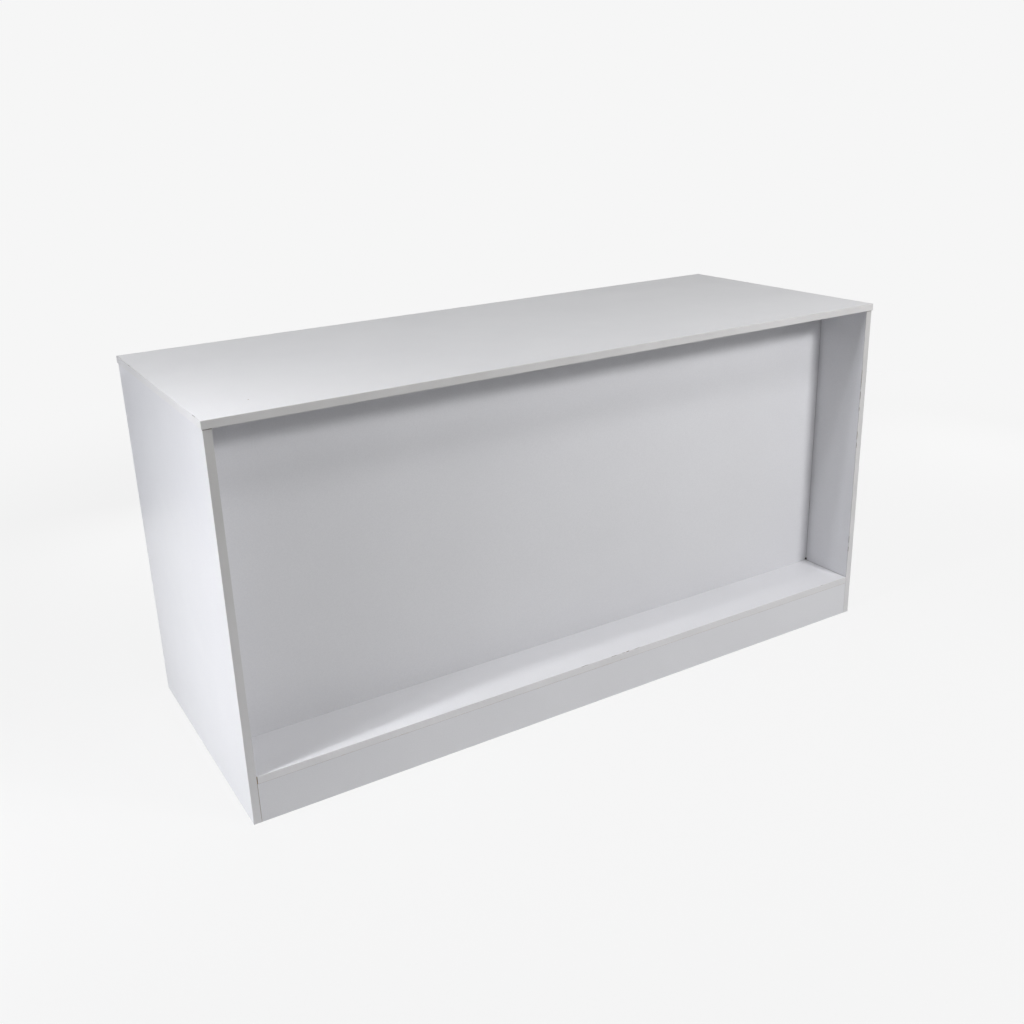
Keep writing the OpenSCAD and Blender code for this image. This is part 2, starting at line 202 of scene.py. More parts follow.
MELAMINE_COLOUR = srgb(226, 226, 229)
MELAMINE_SHADE = srgb(223, 223, 226)
MELAMINE_GRAIN = srgb(212, 212, 216)
TONE_SIZE = 350 * MM
SMUDGE_SIZE = 110 * MM
GRAIN_SIZE = 2.4 * MM
PEARL_SIZE = 1.8 * MM
PEARL_DEPTH = 0.012 * MM
WAVE_SIZE = 60 * MM
WAVE_DEPTH = 0.02 * MM
FILM_GLOSS = 0.25
FILM_ROUGHNESS = 0.14
SPOTS = [((-775.3, -253.8, 900.0), 1.7, srgb(150, 128, 104)),
         ((879.0, -193.0, 117.0), 3.4, srgb(64, 52, 44))]
# the colour of dust in the joints and of the painted shade along the seams
SEAM_DUST_AND_SHADE = srgb(95, 94, 97)
SEAMS = [
    # start and end, half width of the dark line in millimetres, and how dark it is; the narrow lines are
    # dark joints with some painted shade
    ((-880, -348, 95), (880, -348, 95), 0.6, 0.3), ((-880, -193, 113), (880, -193, 113), 0.7, 0.12),
    ((880, -347, 113), (880, -193, 113), 1.3, 0.4), ((880, -193, 113), (880, -193, 882), 1.2, 0.22),
    # the first row below, 14 mm wide, is painted shade down the recess's right corner
    ((880, -193, 113), (880, -193, 882), 14.0, 0.1), ((880, -347.4, 0), (880, -347.4, 880), 0.7, 0.5),
    ((-880, -348, 0), (-880, -348, 113), 0.8, 0.6), ((-898, 348, 882), (-898, -348, 882), 0.5, 0.4),
    # painted shadow that the worktop drops across the top of the customer's panel
    ((-832, -193, 854), (832, -193, 854), 44.0, 0.2),
]


def spotted(finish, colour):
    """The colour with a small blemish at each of the SPOTS: its place, radius and own colour."""
    for place, radius, tone in SPOTS:
        away = finish.add("ShaderNodeVectorMath", {0: finish.place, 1: [v * MM for v in place]},
                          operation="DISTANCE").outputs["Value"]
        ragged = finish.add("ShaderNodeMath", {0: finish.noise(1.5 * MM), 1: 1.2 * MM, 2: away},
                            operation="MULTIPLY_ADD").outputs[0]
        colour = finish.mix(finish.ramp(ragged, (radius + 0.9) * MM, (radius + 0.3) * MM), colour, tone)
    return colour


def seamed(finish, colour):
    """The colour darkened along each of the SEAMS where boards meet: dark joints and dust with some painted
    shade, and wide bands of painted shade.
    """
    for start, end, width, share in SEAMS:
        start, end = Vector(start) * MM, Vector(end) * MM
        line = (end - start).normalized()
        off = finish.vector("SUBTRACT", finish.place, start)
        along = finish.ramp(finish.add("ShaderNodeVectorMath", {0: off, 1: line},
                                       operation="DOT_PRODUCT").outputs["Value"],
                            0.0, (end - start).length, 0.0, (end - start).length)
        foot = finish.add("ShaderNodeVectorMath", {0: line, "Scale": along}, operation="SCALE").outputs[0]
        away = finish.add("ShaderNodeVectorMath", {0: off, 1: foot}, operation="DISTANCE").outputs["Value"]
        # mix towards the dust and painted-shade colour near each line
        colour = finish.mix(finish.ramp(away, width * MM, 0.3 * width * MM, 0.0, share), colour, SEAM_DUST_AND_SHADE)
    return colour


def melamine_finish():
    finish = Finish("white_melamine", MELAMINE_COLOUR, 0.42)
    broad = finish.noise(TONE_SIZE, detail=3.0)
    fine = finish.noise(GRAIN_SIZE, detail=3.0, roughness=0.7)
    tone = finish.mix(finish.ramp(broad, 0.35, 0.65), MELAMINE_COLOUR, MELAMINE_SHADE)
    grained = finish.mix(finish.ramp(fine, 0.3, 0.7, 0.0, 0.5), tone, MELAMINE_GRAIN)
    # the seams add dark joints, dust and painted shade
    finish.set("Base Color", seamed(finish, spotted(finish, grained)))
    smudge = finish.noise(SMUDGE_SIZE, detail=4.0, roughness=0.6)
    finish.set("Roughness", finish.ramp(smudge, 0.3, 0.7, 0.38, 0.48))
    finish.set("Specular IOR Level", 0.4)
    finish.set("Coat Weight", FILM_GLOSS)
    finish.set("Coat Roughness", FILM_ROUGHNESS)
    pearl = finish.bump(finish.noise(PEARL_SIZE, detail=2.0), PEARL_DEPTH)
    finish.set("Normal", finish.bump(finish.noise(WAVE_SIZE, detail=1.0), WAVE_DEPTH, below=pearl))
    return finish.material


melamine = melamine_finish()
print("material", melamine.name)

# %% [markdown]
# ## Edge tape
# The edging is a plastic tape, glued on, and it never quite matches the board: it is more neutral, and
# each strip is given its own grey, which changes evenly from one end of the strip to the other. The
# edging pieces carry two attributes that the material reads: grey tells how dark the tape is at each
# point, and bare where a knock has broken the arris, so that the board's core shows, which has taken in
# years of floor dirt.

# %% Edge tape and raw particle board
TAPE_COLOUR = srgb(226, 225, 227)
TAPE_GREY = srgb(191, 190, 189)
CORE_GRIME = srgb(112, 109, 108)
GRIME_SHARE = 0.9
CHIP_LIGHT, CHIP_PALE, CHIP_DARK = srgb(196, 158, 112), srgb(214, 182, 138), srgb(140, 102, 66)
CHIP_SIZE = 3.2 * MM


def chip_colour(finish):
    """Flakes of wood a few millimetres long, each of its own brown."""
    flake = finish.add("ShaderNodeTexVoronoi", {"Vector": finish.place, "Scale": 1 / CHIP_SIZE})
    light = finish.mix(finish.ramp(flake.outputs["Color"], 0.2, 0.9), CHIP_DARK, CHIP_LIGHT)
    grain = finish.noise(0.7 * MM, detail=3.0)
    return finish.mix(finish.ramp(grain, 0.4, 0.7), light, CHIP_PALE), flake.outputs["Distance"]


def tape_finish():
    finish = Finish("edge_tape", TAPE_COLOUR, 0.42)
    grey = finish.add("ShaderNodeAttribute", attribute_name="grey").outputs["Fac"]
    uneven = finish.ramp(finish.noise(0.12, detail=4.0), 0.3, 0.7, -0.1, 0.1)
    share = finish.add("ShaderNodeMath", {0: grey, 1: uneven}, operation="ADD", use_clamp=True).outputs[0]
    # the seams' dark joints and painted shade reach the tape too
    tone = seamed(finish, finish.mix(share, TAPE_COLOUR, TAPE_GREY))
    bare = finish.add("ShaderNodeAttribute", attribute_name="bare").outputs["Fac"]
    core = finish.mix(GRIME_SHARE, chip_colour(finish)[0], CORE_GRIME)
    finish.set("Base Color", finish.mix(finish.ramp(bare, 0.25, 0.6), tone, core))
    finish.set("Roughness", finish.ramp(bare, 0.2, 0.6, 0.42, 0.85))
    finish.set("Normal", finish.bump(finish.noise(1.0 * MM, detail=2.0), 0.012 * MM))
    return finish.material


def particle_board_finish():
    finish = Finish("particle_board", CHIP_LIGHT, 0.85)
    colour, edge = chip_colour(finish)
    finish.set("Base Color", colour)
    finish.set("Normal", finish.bump(edge, 0.25 * MM))
    return finish.material


edge_tape = tape_finish()
particle_board = particle_board_finish()
print("materials", edge_tape.name, particle_board.name)

# %% [markdown]
# ## Fittings
# Cams are die-cast zinc, bolts and pins are plated steel, dowels are beech and the caps are white
# plastic. They are small, so a little colour and roughness variation is all that they need.

# %% Metal, plastic and beech
def metal_finish(name, colour, roughness, grain):
    finish = Finish(name, colour, roughness)
    finish.set("Metallic", 1.0)
    marks = finish.noise(grain, detail=4.0, roughness=0.65)
    finish.set("Roughness", finish.ramp(marks, 0.3, 0.7, roughness - 0.06, roughness + 0.1))
    finish.set("Normal", finish.bump(marks, 0.01 * MM))
    return finish.material


def cap_finish():
    finish = Finish("cap_plastic", srgb(236, 236, 234), 0.35)
    finish.set("Roughness", finish.ramp(finish.noise(0.8 * MM, detail=2.0), 0.3, 0.7, 0.3, 0.42))
    finish.set("Normal", finish.bump(finish.noise(0.5 * MM), 0.006 * MM))
    return finish.material


def beech_finish():
    finish = Finish("beech", srgb(205, 168, 120), 0.6)
    fleck = finish.noise(1.4 * MM, detail=3.0)
    tone = finish.mix(finish.ramp(fleck, 0.4, 0.7), srgb(211, 176, 130), srgb(176, 134, 88))
    finish.set("Base Color", tone)
    finish.set("Normal", finish.bump(fleck, 0.05 * MM))
    return finish.material


cam_zinc = metal_finish("cam_zinc", srgb(176, 178, 180), 0.42, 1.2 * MM)
bolt_steel = metal_finish("bolt_steel", srgb(205, 206, 208), 0.25, 0.8 * MM)
pin_steel = metal_finish("pin_steel", srgb(212, 210, 206), 0.22, 0.6 * MM)
cap_plastic = cap_finish()
beech = beech_finish()
for node, material in {"cam_housings": cam_zinc, "cam_bolts": bolt_steel, "dowels": beech}.items():
    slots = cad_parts[node].data.materials
    slots.clear()
    slots.append(material)
print("fittings finished")

# %% [markdown]
# ## Boards
# A sawn board has a hair of a bevel on every arris, which catches the light and draws a fine glue line
# beside the edging. The bores are already in the frame's board, so the quickest true board is the
# overlap of two solids: a bevelled block of the board's size, and a merged copy of the frame's board.
# Faces on the two broad planes and their bevels get melamine, and everything else is raw board, so
# the pin holes come out brown inside as real ones do.

# %% Cut each board from a bevelled block
ARRIS_BEVEL = 0.15 * MM
BOARDS = ["top_panel", "left_side_panel", "right_side_panel", "front_panel", "bottom_panel",
          "centre_divider", "front_kickboard", "rear_kickboard", "base_cross_rail", "left_shelf",
          "right_shelf"]


def link(name, mesh):
    piece = bpy.data.objects.new(name, mesh)
    bpy.context.scene.collection.objects.link(piece)
    return piece


def block_mesh(low, high, bevel):
    """A box between two corners with all its arrises bevelled."""
    edges = bmesh.new()
    bmesh.ops.create_cube(edges, size=1.0)
    size = high - low
    for vertex in edges.verts:
        vertex.co = Vector([low[i] + (vertex.co[i] + 0.5) * size[i] for i in range(3)])
    bmesh.ops.bevel(edges, geom=edges.edges[:], offset=bevel, segments=1, affect="EDGES")
    mesh = bpy.data.meshes.new("block")
    edges.to_mesh(mesh)
    edges.free()
    return mesh


def merged_copy(node):
    """The frame's mesh of a node, with its loose triangles joined into closed solids."""
    solid = bmesh.new()
    solid.from_mesh(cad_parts[node].data)
    bmesh.ops.remove_doubles(solid, verts=solid.verts[:], dist=0.001 * MM)
    mesh = bpy.data.meshes.new(node + "_solid")
    solid.to_mesh(mesh)
    solid.free()
    return mesh


def baked(piece):
    """Applies a piece's modifiers to its mesh."""
    view = bpy.context.evaluated_depsgraph_get()
    mesh = bpy.data.meshes.new_from_object(piece.evaluated_get(view))
    piece.modifiers.clear()
    piece.data = mesh
    return piece


def paint_board(mesh, low, high):
    """Melamine on the two broad planes and their bevels, raw board on the sawn edges and in the bores."""
    mesh.materials.clear()
    mesh.materials.append(melamine)
    mesh.materials.append(particle_board)
    thin = min(range(3), key=lambda i: high[i] - low[i])
    for face in mesh.polygons:
        broad = min(abs(face.center[thin] - low[thin]), abs(face.center[thin] - high[thin])) < ARRIS_BEVEL
        face.material_index = 0 if broad else 1


def make_board(node):
    low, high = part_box(node)
    piece = link(node + "_board", block_mesh(low, high, ARRIS_BEVEL))
    source = link(node + "_source", merged_copy(node))
    overlap = piece.modifiers.new("bores", "BOOLEAN")
    overlap.operation = "INTERSECT"
    overlap.solver = "MANIFOLD"
    overlap.object = source
    bpy.context.view_layer.update()
    baked(piece)
    bpy.data.objects.remove(source)
    paint_board(piece.data, low, high)
    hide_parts(node)
    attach(piece, "root")
    return piece


boards = {node: make_board(node) for node in BOARDS}
for node, piece in boards.items():
    print(node, len(piece.data.vertices), "vertices", len(piece.data.polygons), "faces")

# %% [markdown]
# ## Edging
# Every sawn edge that shows is closed with a strip of plastic tape, whose outer arrises are trimmed
# round after it is glued. A strip is one section swept along a line, so it is a natural job for
# Geometry Nodes: a line cut into short steps, and a rectangle whose outer corners are filleted.
#
# Tape in a shop doesn't stay perfect. Where something knocks it, the arris loses small shallow nicks,
# in groups, and a deeper one lets the board's core show. The tree finds them with two noises along the
# strip, pushes the arris in there, and stores how bare each point is for the material to read.
#
# The points of the section stand closer together towards the arrises, because only the arrises get
# nicks, and the wide face between them stays flat.

# %% A short way to write a Geometry Nodes tree
class Tree:
    """A Geometry Nodes tree with named inputs, which grows plain meshes."""

    def __init__(self, name, inputs):
        self.group = bpy.data.node_groups.new(name, "GeometryNodeTree")
        self.group.interface.new_socket("Geometry", in_out="OUTPUT", socket_type="NodeSocketGeometry")
        self.keys = {}
        for key, kind, value in inputs:
            socket = self.group.interface.new_socket(key, in_out="INPUT", socket_type="NodeSocket" + kind)
            if value is not None:
                socket.default_value = value
            self.keys[key] = socket.identifier
        self.start = self.group.nodes.new("NodeGroupInput")
        self.end = self.group.nodes.new("NodeGroupOutput")

    def given(self, key):
        return self.start.outputs[key]

    def add(self, kind, inputs=None, **settings):
        node = self.group.nodes.new(kind)
        for key, value in settings.items():
            setattr(node, key, value)
        for key, value in (inputs or {}).items():
            if isinstance(value, bpy.types.NodeSocket):
                self.group.links.new(value, node.inputs[key])
            else:
                node.inputs[key].default_value = value
        return node

    def sum(self, operation, *values):
        """One math node, as in sum("MULTIPLY", a, b)."""
        return self.add("ShaderNodeMath", dict(enumerate(values)), operation=operation).outputs[0]

    def held(self, value, low, high):
        """value mapped from low..high to 0..1, and held there outside."""
        node = self.add("ShaderNodeMapRange", {"Value": value, "From Min": low, "From Max": high})
        return node.outputs["Result"]

    def axes(self, vector):
        return self.add("ShaderNodeSeparateXYZ", {0: vector}).outputs

    def vector(self, x, y, z):
        return self.add("ShaderNodeCombineXYZ", {0: x, 1: y, 2: z}).outputs[0]

    def stored(self, geometry, name, value):
        """The geometry with value kept on its points as a named attribute."""
        inputs = {"Geometry": geometry, "Name": name, "Value": value}
        return self.add("GeometryNodeStoreNamedAttribute", inputs, data_type="FLOAT",
                        domain="POINT").outputs[0]

    def end_with(self, geometry, material):
        plain = self.add("GeometryNodeRealizeInstances", {"Geometry": geometry})
        dressed = self.add("GeometryNodeSetMaterial", {"Geometry": plain.outputs[0], "Material": material})
        self.group.links.new(dressed.outputs[0], self.end.inputs["Geometry"])

    def grow(self, name, values, start=None):
        """The tree's result for these values, as a piece with a plain mesh."""
        piece = link(name, start or bpy.data.meshes.new(name))
        modifier = piece.modifiers.new(name, "NODES")
        modifier.node_group = self.group
        for key, value in values.items():
            modifier[self.keys[key]] = value
        bpy.context.view_layer.update()
        return baked(piece)


# %% The section of a strip, and its sweep
EDGING_INPUTS = [
    ("Length", "Float", 1.0), ("Width", "Float", 18 * MM), ("Thickness", "Float", 1 * MM),
    ("Arris", "Float", 0.5 * MM), ("Step", "Float", 2 * MM), ("Nick Length", "Float", 9 * MM),
    ("Nick Depth", "Float", 0.4 * MM), ("Nick Level", "Float", 0.66), ("Bare Level", "Float", 0.9),
    ("Seed", "Float", 0.0), ("Grey Start", "Float", 0.3), ("Grey End", "Float", 0.3),
    ("Material", "Material", None)]
NICK_REACH = 1.9 * MM


def edging_section(tree, half):
    """The back lies on x = 0 and the outer side at -Thickness, which the sweep turns to +y."""
    box = tree.add("GeometryNodeCurvePrimitiveQuadrilateral",
                   {"Width": tree.given("Thickness"), "Height": tree.given("Width")})
    outer_side = tree.sum("COMPARE", tree.add("GeometryNodeInputIndex").outputs[0], 1.0, 0.1)
    cut = tree.add("GeometryNodeSubdivideCurve",
                   {"Curve": box.outputs[0], "Cuts": tree.sum("MULTIPLY", outer_side, 5.0)})
    x, y, _ = tree.axes(tree.add("GeometryNodeInputPosition").outputs[0])
    share = tree.sum("DIVIDE", tree.sum("ABSOLUTE", y), half)
    rest = tree.sum("MAXIMUM", tree.sum("SUBTRACT", 1.0, share), 0.0)
    crowded = tree.sum("MULTIPLY", half, tree.sum("SUBTRACT", 1.0, tree.sum("POWER", rest, 1.5)))
    moved = tree.vector(tree.sum("SUBTRACT", x, tree.sum("MULTIPLY", tree.given("Thickness"), 0.5)),
                        tree.sum("MULTIPLY", crowded, tree.sum("SIGN", y)), 0.0)
    section = tree.add("GeometryNodeSetPosition", {"Geometry": cut.outputs[0], "Position": moved})
    outer = tree.sum("LESS_THAN", x, tree.sum("MULTIPLY", tree.given("Thickness"), -0.9))
    corner = tree.sum("MULTIPLY", outer, tree.sum("GREATER_THAN", share, 0.999))
    return tree.add("GeometryNodeFilletCurve", {"Curve": section.outputs[0], "Count": 4,
                                                "Radius": tree.sum("MULTIPLY", tree.given("Arris"), corner)},
                    mode="POLY").outputs[0]


def nicked(tree, strip, half):
    """The strip with its nicks pushed in, and the attribute bare stored."""
    x, y, z = tree.axes(tree.add("GeometryNodeInputPosition").outputs[0])
    side = tree.sum("SIGN", z)
    back_from_face = tree.sum("SUBTRACT", tree.given("Thickness"), y)
    back_from_edge = tree.sum("SUBTRACT", half, tree.sum("ABSOLUTE", z))
    away = tree.sum("SQRT", tree.sum("ADD", tree.sum("POWER", back_from_face, 2.0),
                                     tree.sum("POWER", back_from_edge, 2.0)))
    near = tree.held(away, NICK_REACH, 0.0)
    along = tree.vector(x, tree.sum("MULTIPLY", side, 0.31), 0.0)

    def noise(length, turn):
        return tree.add("ShaderNodeTexNoise",
                        {"Vector": along, "W": tree.sum("ADD", tree.given("Seed"), turn), "Detail": 1.0,
                         "Scale": tree.sum("DIVIDE", 1.0, length)}, noise_dimensions="4D").outputs["Fac"]

    single = noise(tree.given("Nick Length"), 0.0)
    group = noise(tree.sum("MULTIPLY", tree.given("Nick Length"), 16.0), 5.0)
    level = tree.sum("ADD", single, tree.sum("MULTIPLY", tree.sum("SUBTRACT", group, 0.5), 0.6))
    deep = tree.held(level, tree.given("Nick Level"), tree.sum("ADD", tree.given("Nick Level"), 0.12))
    bare = tree.sum("MULTIPLY", near, tree.held(deep, tree.given("Bare Level"),
                                                tree.sum("ADD", tree.given("Bare Level"), 0.2)))
    grey = tree.add("ShaderNodeMapRange", {"Value": x, "From Max": tree.given("Length"),
                                           "To Min": tree.given("Grey Start"),
                                           "To Max": tree.given("Grey End")}).outputs["Result"]
    stored = tree.stored(tree.stored(strip, "bare", bare), "grey", grey)
    push = tree.sum("MULTIPLY", tree.sum("MULTIPLY", near, deep), tree.given("Nick Depth"))
    slant = tree.sum("MULTIPLY", push, -0.7)
    off_glue = tree.sum("DIVIDE", y, tree.given("Thickness"))
    inward = tree.vector(0.0, tree.sum("MULTIPLY", slant, off_glue), tree.sum("MULTIPLY", slant, side))
    return tree.add("GeometryNodeSetPosition", {"Geometry": stored, "Offset": inward}).outputs[0]


def edging_tree():
    tree = Tree("edging", EDGING_INPUTS)
    half = tree.sum("MULTIPLY", tree.given("Width"), 0.5)
    line = tree.add("GeometryNodeCurvePrimitiveLine", {"End": tree.vector(tree.given("Length"), 0.0, 0.0)})
    path = tree.add("GeometryNodeResampleCurve", {"Curve": line.outputs[0], "Length": tree.given("Step")},
                    mode="LENGTH")
    strip = tree.add("GeometryNodeCurveToMesh", {"Curve": path.outputs[0], "Fill Caps": True,
                                                 "Profile Curve": edging_section(tree, half)})
    tree.end_with(nicked(tree, strip.outputs[0], half), tree.given("Material"))
    return tree


edging = edging_tree()
print("tree", edging.group.name, len(edging.group.nodes), "nodes")

# %% Lay the thirteen strips
STRIPS = {
    # strip: the board that it closes, the radius of its arris, and the length of a step
    "top_front_edging": ("top_panel", 1.2, 2.0), "top_rear_edging": ("top_panel", 1.2, 3.0),
    "top_left_edging": ("top_panel", 1.2, 2.0), "top_right_edging": ("top_panel", 1.2, 3.0),
    "left_side_front_edging": ("left_side_panel", 0.5, 2.0),
    "right_side_front_edging": ("right_side_panel", 0.5, 2.0),
    "left_side_rear_edging": ("left_side_panel", 0.5, 3.0),
    "right_side_rear_edging": ("right_side_panel", 0.5, 3.0),
    "bottom_front_edging": ("bottom_panel", 0.5, 2.0), "bottom_rear_edging": ("bottom_panel", 0.5, 3.0),
    "divider_rear_edging": ("centre_divider", 0.5, 3.0),
    "left_shelf_edging": ("left_shelf", 0.5, 3.0), "right_shelf_edging": ("right_shelf", 0.5, 3.0),
}
# how grey each listed strip is at its start and at its end; other strips take a default
STRIP_GREYS = {"top_front_edging": (0.82, 0.6), "left_side_front_edging": (0.22, 1.0),
              "right_side_front_edging": (0.2, 0.95), "bottom_front_edging": (0.02, 0.2),
              "top_left_edging": (0.35, 0.45)}


def strip_frame(node, board):
    """The strip's own axes: along it, out of the board, and across, with the middle of its glued back."""
    low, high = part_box(node)
    size = high - low
    thin = min(range(3), key=lambda i: size[i])
    long = max(range(3), key=lambda i: size[i])
    wide = 3 - thin - long
    board_low, board_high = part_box(board)
    out = 1 if low[thin] + high[thin] > board_low[thin] + board_high[thin] else -1
    unit = [Vector((i == 0, i == 1, i == 2)) for i in range(3)]
    along, outward = unit[long], out * unit[thin]
    start = (low + high) / 2
    start[long] = low[long]
    start[thin] = low[thin] if out > 0 else high[thin]
    axes = Matrix((along, outward, along.cross(outward))).transposed().to_4x4()
    return Matrix.Translation(start) @ axes, size[long], size[wide], size[thin]


def lay_strip(node, number):
    board, arris, step = STRIPS[node]
    place, length, width, thickness = strip_frame(node, board)
    grey = STRIP_GREYS.get(node, (0.33, 0.4))
    values = {"Length": length, "Width": width, "Thickness": thickness, "Arris": arris * MM,
              "Step": step * MM, "Seed": 1.7 * number, "Grey Start": grey[0], "Grey End": grey[1],
              "Material": edge_tape}
    if board == "top_panel":
        values.update({"Nick Length": 12 * MM, "Nick Depth": 0.45 * MM, "Nick Level": 0.64,
                       "Bare Level": 2.0})
    piece = edging.grow(node + "_tape", values)
    piece.data.transform(place)
    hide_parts(node)
    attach(piece, "root")
    return piece


strips = {node: lay_strip(node, number) for number, node in enumerate(STRIPS)}
for node, piece in strips.items():
    low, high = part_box(node)
    reach = [Vector([pick(v.co[i] for v in piece.data.vertices) for i in range(3)]) for pick in (min, max)]
    print(node, len(piece.data.polygons), "faces, off the frame by",
          round(max((reach[0] - low).length, (reach[1] - high).length) / MM, 3), "mm")

# %% [markdown]
# ## Knocks that the photograph shows
# The noise nicks are the same kind everywhere, but a few marks of the real counter can be placed: the
# chips along the ledge's upper edge, the broken glue line inside the right side, the shallow bumps on
# the worktop's front, two chips on its left end, and tape that stops a little short under the worktop
# and beside the ledge. Each is a push on the strip's own points along a stretch of arris, deeper in
# its middle. A knock deep enough bares the core, and a shallow one only catches the light.

# %% Knock the strips
KNOCKS = [
    # strip, start and end on its arris, the way in, depth and reach in millimetres; how bare it gets
    ("bottom_front_edging", (-47, -348, 113), (-22, -348, 113), (0, 0.5, -0.85), 0.6, 1.3, 1.0),
    ("bottom_front_edging", (44, -348, 113), (66, -348, 113), (0, 0.5, -0.85), 0.8, 1.5, 0.9),
    ("bottom_front_edging", (79, -348, 113), (91, -348, 113), (0, 0.5, -0.85), 0.6, 1.3, 0.9),
    ("bottom_front_edging", (94, -348, 113), (102, -348, 113), (0, 0.5, -0.85), 1.1, 2.0, 1.6),
    ("bottom_front_edging", (118, -348, 113), (137, -348, 113), (0, 0.5, -0.85), 0.6, 1.3, 0.9),
    ("bottom_front_edging", (777, -348, 113), (789, -348, 113), (0, 0.5, -0.85), 0.6, 1.3, 0.8),
    ("right_side_front_edging", (880, -348, 641), (880, -348, 664), (0.85, 0.5, 0), 1.0, 1.9),
    ("right_side_front_edging", (880, -348, 668), (880, -348, 724), (0.85, 0.5, 0), 0.7, 1.5),
    ("right_side_front_edging", (880, -348, 609), (880, -348, 620), (0.85, 0.5, 0), 0.9, 1.8),
    ("right_side_front_edging", (880, -348, 526), (880, -348, 551), (0.85, 0.5, 0), 0.9, 1.7),
    ("right_side_front_edging", (880, -348, 503), (880, -348, 519), (0.85, 0.5, 0), 0.7, 1.5),
    ("right_side_front_edging", (880, -348, 219), (880, -348, 242), (0.85, 0.5, 0), 0.6, 1.3),
    ("right_side_front_edging", (880, -348, 192), (880, -348, 208), (0.85, 0.5, 0), 0.6, 1.3),
    ("top_left_edging", (-900, 207, 900), (-900, 232, 900), (0.7, 0, -0.7), 0.7, 1.5, 1.0),
    ("top_left_edging", (-900, -316, 900), (-900, -291, 900), (0.7, 0, -0.7), 0.8, 1.6, 1.1),
    ("top_front_edging", (-222, -350, 900), (-198, -350, 900), (0, 0.6, -0.8), 0.6, 2.0, 0.3),
    ("top_front_edging", (-176, -350, 900), (-160, -350, 900), (0, 0.6, -0.8), 0.7, 2.0, 0.3),
    ("top_front_edging", (-146, -350, 900), (-124, -350, 900), (0, 0.6, -0.8), 0.6, 2.0, 0.3),
    ("top_front_edging", (-40, -350, 900), (-24, -350, 900), (0, 0.6, -0.8), 0.6, 2.0, 0.3),
    ("top_front_edging", (78, -350, 900), (96, -350, 900), (0, 0.6, -0.8), 0.5, 2.0, 0.3),
]
SHORT_ENDS = [
    # strip, a point at the end, how far the tape stops short
    ("left_side_front_edging", (-889, -348, 882), 0.5),
    ("right_side_front_edging", (889, -348, 882), 0.6),
    ("bottom_front_edging", (-879.6, -348, 104), 0.9),
]


def knock(node, start, end, way, depth, reach, bared=1.6):
    """Pushes the arris between two points in along a direction, and bares it."""
    mesh = strips[node].data
    start, end, way = Vector(start) * MM, Vector(end) * MM, Vector(way)
    length = (end - start).length
    line = (end - start) / length
    bare = mesh.attributes["bare"].data
    touched = 0
    for vertex in mesh.vertices:
        off = vertex.co - start
        along = off.dot(line)
        if not 0 <= along <= length:
            continue
        near = 1 - (off - along * line).length / (reach * MM)
        if near <= 0:
            continue
        ripple = 0.75 + 0.25 * math.sin(along / MM * 1.9 + start.x * 7)
        amount = near * ripple * min(1, 4 * along * (length - along) / length ** 2 + 0.35)
        vertex.co += way * depth * MM * amount
        bare[vertex.index].value = max(bare[vertex.index].value, min(1.0, bared * amount))
        touched += 1
    return touched


def shorten(node, point, gap):
    """Moves the strip's last ring of points back from its end, and bares it."""
    mesh = strips[node].data
    low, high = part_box(node)
    along = max(range(3), key=lambda i: high[i] - low[i])
    end = point[along] * MM
    way = -1 if end > (low[along] + high[along]) / 2 else 1
    bare = mesh.attributes["bare"].data
    for vertex in mesh.vertices:
        if abs(vertex.co[along] - end) < 0.01 * MM:
            vertex.co[along] += way * gap * MM
            bare[vertex.index].value = 1.0


print("points moved by each knock:", [knock(*entry) for entry in KNOCKS])
for entry in SHORT_ENDS:
    shorten(*entry)

# %% [markdown]
# ## Cover caps
# The cams on the staff's side hide under white caps, pushed into the cam's bore by a short spigot.
# Twenty-four equal caps call for one careful cap and a tree that sets it on points: each point
# carries the direction in which its cap looks, and the instance turns its own Z axis that way. The
# points come from the frame, where every cap is an island of faces whose thin side shows the axis.

# %% One cap, turned on a lathe of 40 steps
CAP_TURNS = 40
CAP_SECTION = [(0.0, -1.95), (1.6, -1.95), (1.75, -1.8), (1.75, 0.0), (8.3, 0.0), (8.42, 0.08), (8.48, 0.3),
               (8.46, 0.52), (8.32, 0.74), (7.95, 0.9), (7.2, 0.96), (5.2, 0.98), (5.0, 0.94), (4.8, 0.98),
               (2.4, 0.99), (0.0, 1.0)]


def turned(name, section, turns):
    """A closed solid from a section of radius and height in millimetres, from axis to axis."""
    shape = bmesh.new()
    rings = []
    for radius, height in section:
        count = turns if radius > 0 else 1
        rings.append([shape.verts.new((radius * MM * math.cos(math.tau * i / count),
                                       radius * MM * math.sin(math.tau * i / count), height * MM))
                      for i in range(count)])
    for below, above in zip(rings, rings[1:]):
        for i in range(turns):
            j = (i + 1) % turns
            corners = [below[i % len(below)], below[j % len(below)],
                       above[j % len(above)], above[i % len(above)]]
            shape.faces.new(list(dict.fromkeys(corners)))
    bmesh.ops.recalc_face_normals(shape, faces=shape.faces[:])
    mesh = bpy.data.meshes.new(name)
    shape.to_mesh(mesh)
    shape.free()
    mesh.polygons.foreach_set("use_smooth", [True] * len(mesh.polygons))
    mesh.set_sharp_from_angle(angle=math.radians(40))
    return mesh


def islands(node):
    """The separate solids of a node, each as its lowest and highest corners."""
    solid = bmesh.new()
    solid.from_mesh(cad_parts[node].data)
    bmesh.ops.remove_doubles(solid, verts=solid.verts[:], dist=0.001 * MM)
    left = set(solid.verts)
    found = []
    while left:
        edge_of_search = [left.pop()]
        island = []
        while edge_of_search:
            vertex = edge_of_search.pop()
            island.append(vertex.co.copy())
            for edge in vertex.link_edges:
                other = edge.other_vert(vertex)
                if other in left:
                    left.remove(other)
                    edge_of_search.append(other)
        found.append(tuple(Vector([pick(c[i] for c in island) for i in range(3)]) for pick in (min, max)))
    solid.free()
    return found


